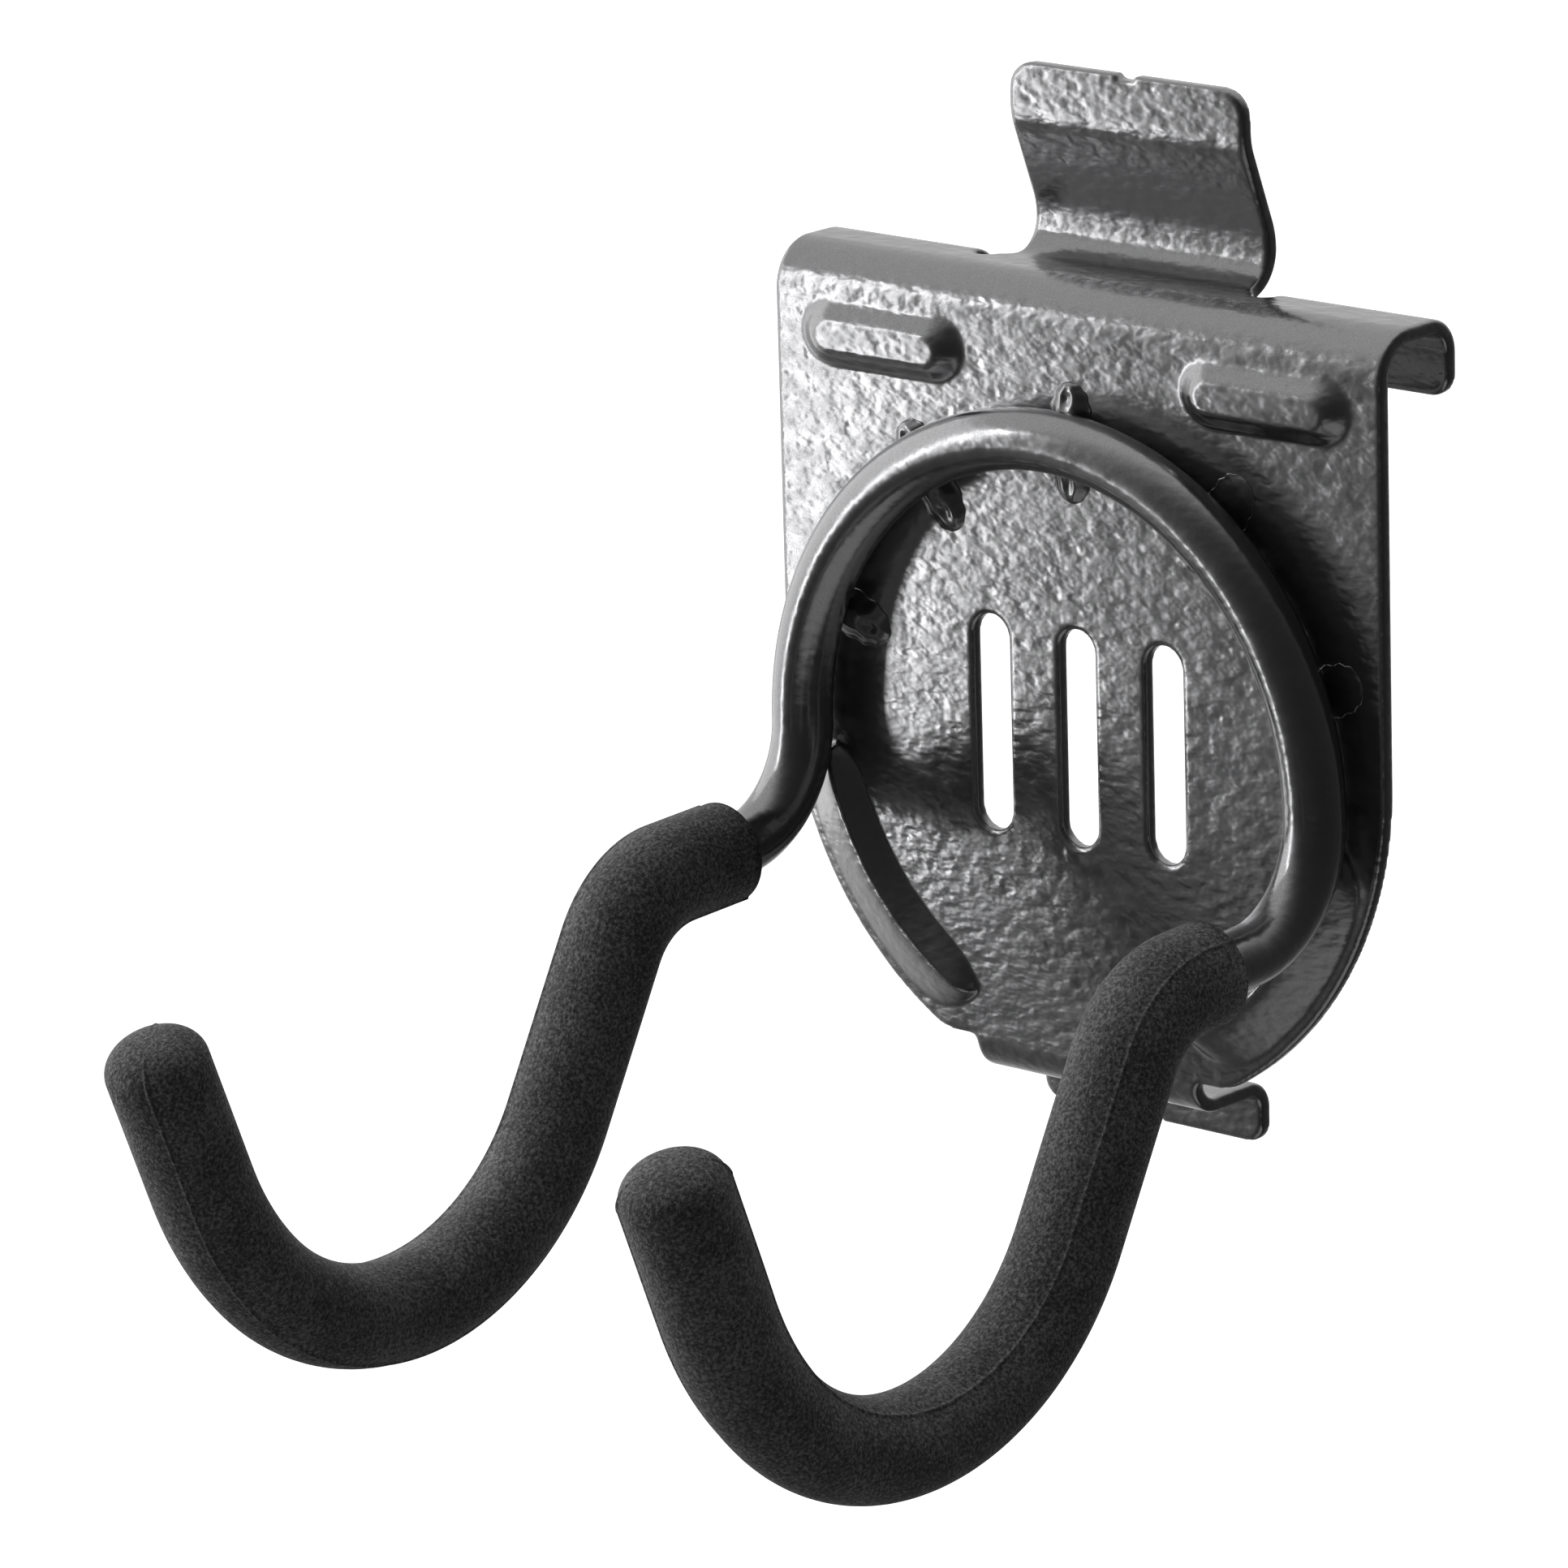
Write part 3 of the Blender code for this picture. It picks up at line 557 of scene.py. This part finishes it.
def weld(index):
    """A radial weld bead: a soft mound on the plate, its middle hollowed to the rod."""
    angle = pi / 2 + (index - (WELD_COUNT + 1) / 2) * WELD_PITCH
    reach = ROD_R + WELD_GAP
    across = np.linspace(-1.0, 1.0, WELD_POINTS)
    rings = []
    for i in range(WELD_STATIONS + 1):
        t = -cos(pi * i / WELD_STATIONS)
        u = t * (WELD_L / 2 + (WELD_INNER_EXTRA if t < 0 else 0.0))
        plan = sqrt(max(WELD_TIP, 1.0 - t ** 4))
        ripple = 1.0 + WELD_RIPPLE * sin(WELD_RIPPLE_PITCH * i + index)
        half_w = WELD_W * WELD_SPREAD * plan * ripple
        calm = WELD_FLAT if index < WELD_FLAT_UNDER and t > 0 else 1.0
        swell = (WELD_SWELL + WELD_CROWN * cos(pi * t / 2)) * calm
        to_pit = (abs(t) - PIT_AT) * WELD_L / 2 / PIT_R
        pit = PIT_DEPTH * calm * np.exp(-to_pit ** 2 - (across / PIT_W) ** 2)
        mound = ease(WELD_FLANK * (1.0 - np.abs(across)))
        height = swell * WELD_H * mound * plan * (1.0 - pit)
        if abs(u) < reach:
            height = np.minimum(height, ROD_STANDOFF + ROD_R - sqrt(reach * reach - u * u))
        top = np.column_stack([across * half_w, height + WELD_GAP * 0.5])
        under = np.column_stack([across[-2:0:-1] * half_w, np.zeros(len(across) - 2)])
        v, h = np.vstack([top, under]).T
        r = LOOP_R + u
        rings.append(np.column_stack([r * cos(angle) - v * sin(angle), FRONT_Y - h,
                                      -LOOP_DROP + r * sin(angle) + v * cos(angle)]))
    return skin("weld_bead_%d" % index, rings)


# ------------------------------------------------------------------ materials
class Nodes:
    """Short calls for one material's nodes."""

    def __init__(self, name):
        self.mat = bpy.data.materials.new(name)
        self.mat.use_nodes = True
        self.tree = self.mat.node_tree
        self.bsdf = self.tree.nodes["Principled BSDF"]

    def set(self, socket, value):
        self.bsdf.inputs[socket].default_value = value

    def add(self, kind, **values):
        node = self.tree.nodes.new(kind)
        for key, value in values.items():
            setattr(node, key, value)
        return node

    def link(self, source, target):
        self.tree.links.new(source, target)

    def coords(self, scale):
        place = self.add("ShaderNodeTexCoord")
        mapping = self.add("ShaderNodeMapping")
        mapping.inputs["Scale"].default_value = scale
        self.link(place.outputs["Object"], mapping.inputs["Vector"])
        return mapping.outputs["Vector"]

    def noise(self, vector, scale, detail, rough=0.5, distortion=0.0):
        node = self.add("ShaderNodeTexNoise")
        node.inputs["Scale"].default_value = scale
        node.inputs["Detail"].default_value = detail
        node.inputs["Roughness"].default_value = rough
        node.inputs["Distortion"].default_value = distortion
        self.link(vector, node.inputs["Vector"])
        return node.outputs["Fac"]

    def bump(self, height, distance, below=None):
        node = self.add("ShaderNodeBump")
        node.inputs["Strength"].default_value = 1.0
        node.inputs["Distance"].default_value = distance
        self.link(height, node.inputs["Height"])
        if below:
            self.link(below, node.inputs["Normal"])
        return node.outputs["Normal"]

    def span(self, source, low, high, to_low, to_high):
        node = self.add("ShaderNodeMapRange")
        node.interpolation_type = "SMOOTHSTEP"
        node.inputs["From Min"].default_value = low
        node.inputs["From Max"].default_value = high
        node.inputs["To Min"].default_value = to_low
        node.inputs["To Max"].default_value = to_high
        self.link(source, node.inputs["Value"])
        return node.outputs["Result"]

    def ramp(self, source, stops):
        node = self.add("ShaderNodeValToRGB")
        while len(node.color_ramp.elements) < len(stops):
            node.color_ramp.elements.new(0.5)
        for element, (place, grey) in zip(node.color_ramp.elements, stops):
            element.position = place
            element.color = (grey[0], grey[1], grey[2], 1.0)
        self.link(source, node.inputs["Fac"])
        return node.outputs["Color"]


def paint(name, grey, hammer, roughness):
    """Glossy metallic grey powder coat. hammer is the depth of its dimples."""
    n = Nodes(name)
    n.set("Metallic", 0.92)
    cells = n.coords((0.8, 1.0, 1.35))
    dimple = n.noise(cells, scale=600.0, detail=0.8, rough=0.42, distortion=0.12)
    wave = n.noise(cells, scale=260.0, detail=1.0)
    fleck = n.noise(cells, scale=5200.0, detail=2.0, rough=0.6)
    low = tuple(c * 0.86 for c in grey)
    high = tuple(c * 1.12 for c in grey)
    n.link(n.ramp(fleck, [(0.35, low), (0.7, high)]), n.bsdf.inputs["Base Color"])
    gloss = n.span(wave, 0.3, 0.7, roughness * 0.85, roughness * 1.2)
    n.link(gloss, n.bsdf.inputs["Roughness"])
    soft = n.bump(wave, distance=hammer * 0.8)
    n.link(n.bump(dimple, distance=hammer, below=soft), n.bsdf.inputs["Normal"])
    return n.mat


def rubber(name):
    """Matte black soft rubber with a fine open grain and pale specks, its pore hollows darkened
    with painted shade.
    """
    n = Nodes(name)
    n.set("Metallic", 0.0)
    n.set("Specular IOR Level", 0.35)
    place = n.coords((1.0, 1.0, 1.0))
    grain = n.noise(place, scale=2600.0, detail=2.0, rough=0.6)
    pores = n.noise(place, scale=1800.0, detail=2.5, rough=0.6)
    cloud = n.noise(place, scale=90.0, detail=2.0)
    speck = n.noise(place, scale=3300.0, detail=1.0)
    # Colour is darker where the pores noise is low, which is where the bump sinks in. That is
    # painted shade in the pore hollows. The cloud noise adds a random tone on top.
    pore_shade_and_mottle = n.add("ShaderNodeMath", operation="ADD")
    n.link(pores, pore_shade_and_mottle.inputs[0])
    n.link(n.span(cloud, 0.3, 0.7, -0.04, 0.04), pore_shade_and_mottle.inputs[1])
    base = n.ramp(pore_shade_and_mottle.outputs["Value"], [(0.34, (0.046, 0.046, 0.046)),
                                            (0.50, (0.118, 0.118, 0.119)),
                                            (0.66, (0.26, 0.26, 0.26))])
    spots = n.span(speck, 0.66, 0.74, 0.0, 0.7)
    mix = n.add("ShaderNodeMix", data_type="RGBA")
    mix.inputs["B"].default_value = (0.40, 0.40, 0.40, 1.0)
    n.link(spots, mix.inputs["Factor"])
    n.link(base, mix.inputs["A"])
    colour_result = mix.outputs[2]
    n.link(colour_result, n.bsdf.inputs["Base Color"])
    n.link(n.span(grain, 0.3, 0.7, 0.62, 0.85), n.bsdf.inputs["Roughness"])
    coarse = n.bump(pores, distance=0.22 * MM)
    n.link(n.bump(grain, distance=0.14 * MM, below=coarse), n.bsdf.inputs["Normal"])
    return n.mat


GREY = (0.29, 0.29, 0.295)
WELD_GREY = (0.27, 0.27, 0.275)
PLATE_PAINT = paint("hammered_paint", GREY, hammer=0.10 * MM, roughness=0.21)
ROD_PAINT = paint("rod_paint", GREY, hammer=0.05 * MM, roughness=0.20)
WELD_PAINT = paint("weld_paint", WELD_GREY, hammer=0.08 * MM, roughness=0.22)
RUBBER = rubber("soft_rubber")


def finish_piece(ob, mat, node):
    """Give a piece its material, put it on the body and hide the CAD part it stands for."""
    ob.data.materials.clear()
    ob.data.materials.append(mat)
    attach(ob, BODY)
    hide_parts(node)


finish_piece(back_plate(), PLATE_PAINT, "back_plate")
finish_piece(hook_rod(), ROD_PAINT, "hook_rod")
left = sleeve("sleeve_left_moulded", sign=-1, mouth_shift=0.0, seam=radians(34.0),
              tip_swell=0.0)
finish_piece(left, RUBBER, "sleeve_left")
right = sleeve("sleeve_right_moulded", sign=1, mouth_shift=RIGHT_MOUTH_SHIFT,
               seam=radians(139.0), tip_swell=0.25 * MM)
finish_piece(right, RUBBER, "sleeve_right")
for number in range(1, WELD_COUNT + 1):
    finish_piece(weld(number), WELD_PAINT, "weld_%d" % number)


# ------------------------------------------------------- camera, floor, lights
def camera():
    """The photo's camera, to the right of the plate and a little above it."""
    azimuth, elevation, roll = radians(41.98), radians(15.15), radians(-1.64)
    away = 1.5206
    aim_x, aim_drop = -0.06016, 0.01308
    target = Vector((aim_x, FRONT_Y, -LOOP_DROP - aim_drop))
    look = Vector((-sin(azimuth) * cos(elevation), cos(azimuth) * cos(elevation),
                   -sin(elevation)))
    flat_right = Vector((cos(azimuth), sin(azimuth), 0.0))
    flat_up = flat_right.cross(look)
    side = cos(roll) * flat_right + sin(roll) * flat_up
    up = -sin(roll) * flat_right + cos(roll) * flat_up
    data = bpy.data.cameras.new("camera")
    data.lens = 224.2
    data.sensor_width = 36.0
    data.shift_x = 0.0005
    data.shift_y = -0.0021
    data.clip_start = 0.05
    data.clip_end = 50.0
    ob = bpy.data.objects.new("camera", data)
    turn = Matrix((side, up, -look)).transposed().to_4x4()
    ob.matrix_world = Matrix.Translation(target - look * away) @ turn
    bpy.context.scene.collection.objects.link(ob)
    bpy.context.scene.camera = ob


def area_light(name, place, aim, width, height, radiance):
    """A rectangular light, unseen by the camera, as bright all over as radiance says."""
    data = bpy.data.lights.new(name, "AREA")
    data.shape = "RECTANGLE"
    data.size = width
    data.size_y = height
    data.energy = radiance * pi * width * height
    ob = bpy.data.objects.new(name, data)
    ob.location = place
    ob.rotation_euler = (Vector(aim) - Vector(place)).to_track_quat("-Z", "Y").to_euler()
    ob.visible_camera = False
    bpy.context.scene.collection.objects.link(ob)


SURROUND_TOWARD = (-0.80, 0.42, 0.42)
SURROUND_STOPS = [(0.0, 0.03), (0.35, 0.05), (0.475, 0.10), (0.55, 0.20), (0.675, 0.50),
                  (0.775, 0.85), (1.0, 0.85)]
BOUNCE_TOWARD = (0.25, -0.50, -0.83)
BOUNCE_RIM, BOUNCE_CORE = 0.78, 0.95
BOUNCE_GREY = 0.38


def world():
    """A studio surround: bright at the upper left, dark at the right, with a soft
    bounce from below the front. The camera itself sees plain white.
    """
    scene_world = bpy.data.worlds.new("studio")
    bpy.context.scene.world = scene_world
    scene_world.use_nodes = True
    tree = scene_world.node_tree
    tree.nodes.clear()
    place = tree.nodes.new("ShaderNodeTexCoord")

    def toward(direction):
        node = tree.nodes.new("ShaderNodeVectorMath")
        node.operation = "DOT_PRODUCT"
        node.inputs[1].default_value = Vector(direction).normalized()
        tree.links.new(place.outputs["Generated"], node.inputs[0])
        return node.outputs["Value"]

    half = tree.nodes.new("ShaderNodeMapRange")
    half.inputs["From Min"].default_value = -1.0
    tree.links.new(toward(SURROUND_TOWARD), half.inputs["Value"])
    ramp = tree.nodes.new("ShaderNodeValToRGB")
    tree.links.new(half.outputs["Result"], ramp.inputs["Fac"])
    elements = ramp.color_ramp.elements
    while len(elements) < len(SURROUND_STOPS):
        elements.new(0.5)
    for element, (spot, grey) in zip(elements, SURROUND_STOPS):
        element.position = spot
        element.color = (grey, grey, grey, 1.0)
    bounce = tree.nodes.new("ShaderNodeMapRange")
    bounce.interpolation_type = "SMOOTHSTEP"
    bounce.inputs["From Min"].default_value = BOUNCE_RIM
    bounce.inputs["From Max"].default_value = BOUNCE_CORE
    bounce.inputs["To Max"].default_value = BOUNCE_GREY
    tree.links.new(toward(BOUNCE_TOWARD), bounce.inputs["Value"])
    total = tree.nodes.new("ShaderNodeVectorMath")
    tree.links.new(ramp.outputs["Color"], total.inputs[0])
    tree.links.new(bounce.outputs["Result"], total.inputs[1])
    surround = tree.nodes.new("ShaderNodeBackground")
    tree.links.new(total.outputs["Vector"], surround.inputs["Color"])
    white = tree.nodes.new("ShaderNodeBackground")
    white.inputs["Color"].default_value = (1.0, 1.0, 1.0, 1.0)
    rays = tree.nodes.new("ShaderNodeLightPath")
    mix = tree.nodes.new("ShaderNodeMixShader")
    out = tree.nodes.new("ShaderNodeOutputWorld")
    tree.links.new(rays.outputs["Is Camera Ray"], mix.inputs["Fac"])
    tree.links.new(surround.outputs["Background"], mix.inputs[1])
    tree.links.new(white.outputs["Background"], mix.inputs[2])
    tree.links.new(mix.outputs["Shader"], out.inputs["Surface"])


def floor():
    """A plain white floor well below the rack, which hangs on a wall."""
    mesh = bpy.data.meshes.new("floor")
    reach, level = 12.0, -0.6
    mesh.from_pydata([(-reach, -reach, level), (reach, -reach, level),
                      (reach, reach, level), (-reach, reach, level)], [], [(0, 1, 2, 3)])
    ob = bpy.data.objects.new("floor", mesh)
    bpy.context.scene.collection.objects.link(ob)
    n = Nodes("white_floor")
    n.set("Base Color", (0.9, 0.9, 0.9, 1.0))
    n.set("Roughness", 0.9)
    n.set("Emission Color", (1.0, 1.0, 1.0, 1.0))
    n.set("Emission Strength", 0.9)
    mesh.materials.append(n.mat)
    ob.visible_glossy = False
    ob.visible_diffuse = False
    ob.visible_shadow = False


camera()
world()
floor()
area_light("left_softbox", place=(-0.38, -0.16, 0.0), aim=(0.0, -0.16, 0.0),
           width=0.48, height=0.46, radiance=0.75)
area_light("left_strip", place=(-0.375, -0.35, 0.0), aim=(0.0, -0.35, 0.0),
           width=0.08, height=0.46, radiance=4.8)
bpy.context.scene.view_settings.view_transform = "Standard"
